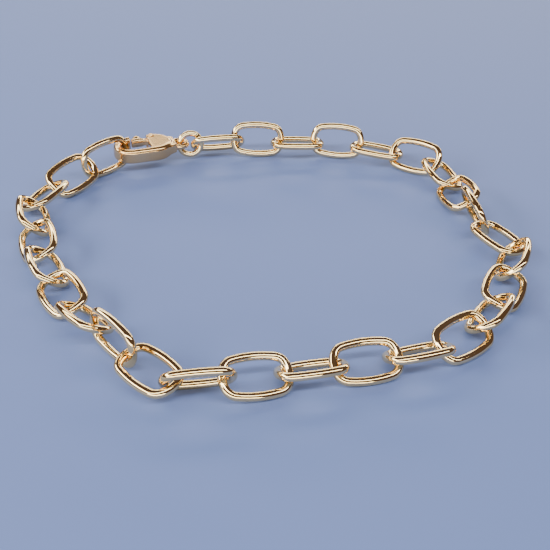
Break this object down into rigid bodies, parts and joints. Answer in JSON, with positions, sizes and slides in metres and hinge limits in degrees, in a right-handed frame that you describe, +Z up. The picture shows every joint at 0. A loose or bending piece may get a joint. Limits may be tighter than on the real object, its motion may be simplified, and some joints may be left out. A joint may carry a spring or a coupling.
{
  "type": "link bracelet",
  "caption": "Gold-coloured bracelet of smooth oblong cable links lying in a closed loop, fastened by a lobster clasp with a sprung lever.",
  "frame": {"origin": "on the floor under the middle of the bracelet's overall box", "axes": "+Z up, +X to the right across the loop's longer way as the picture shows it, +Y away from the viewer"},
  "size_m": [0.062, 0.0556, 0.005],
  "materials": {
    "links": "polished pale gold plating on brass wire",
    "jump_ring": "polished pale gold plating on brass wire",
    "clasp": "polished pale gold plating on cast brass",
    "rivet": "polished pale gold plating",
    "lever": "polished pale gold plating on cast brass"
  },
  "bodies": {
    "bracelet": {"link_01": "links", "link_02": "links", "link_03": "links", "link_04": "links", "link_05": "links", "link_06": "links", "link_07": "links", "link_08": "links", "link_09": "links", "link_10": "links", "link_11": "links", "link_12": "links", "link_13": "links", "link_14": "links", "link_15": "links", "link_16": "links", "link_17": "links", "link_18": "links", "link_19": "links", "link_20": "links", "link_21": "links", "link_22": "links", "link_23": "links", "link_24": "links", "link_25": "links", "link_26": "links", "link_27": "links", "link_28": "links", "link_29": "links", "jump_ring": "jump_ring", "clasp_body": "clasp", "clasp_rivet": "rivet"},
    "lever": {"clasp_lever": "lever"}
  },
  "joints": [
    {"name": "lever_hinge", "type": "hinge", "parent": "bracelet", "child": "lever", "pos_m": [-0.01658, 0.0232, 0.00238], "axis": [0, 0, 1], "range_deg": [0, 22], "stiffness_Nm_per_rad": 0.00002, "springref_deg": -5.73}
  ]
}
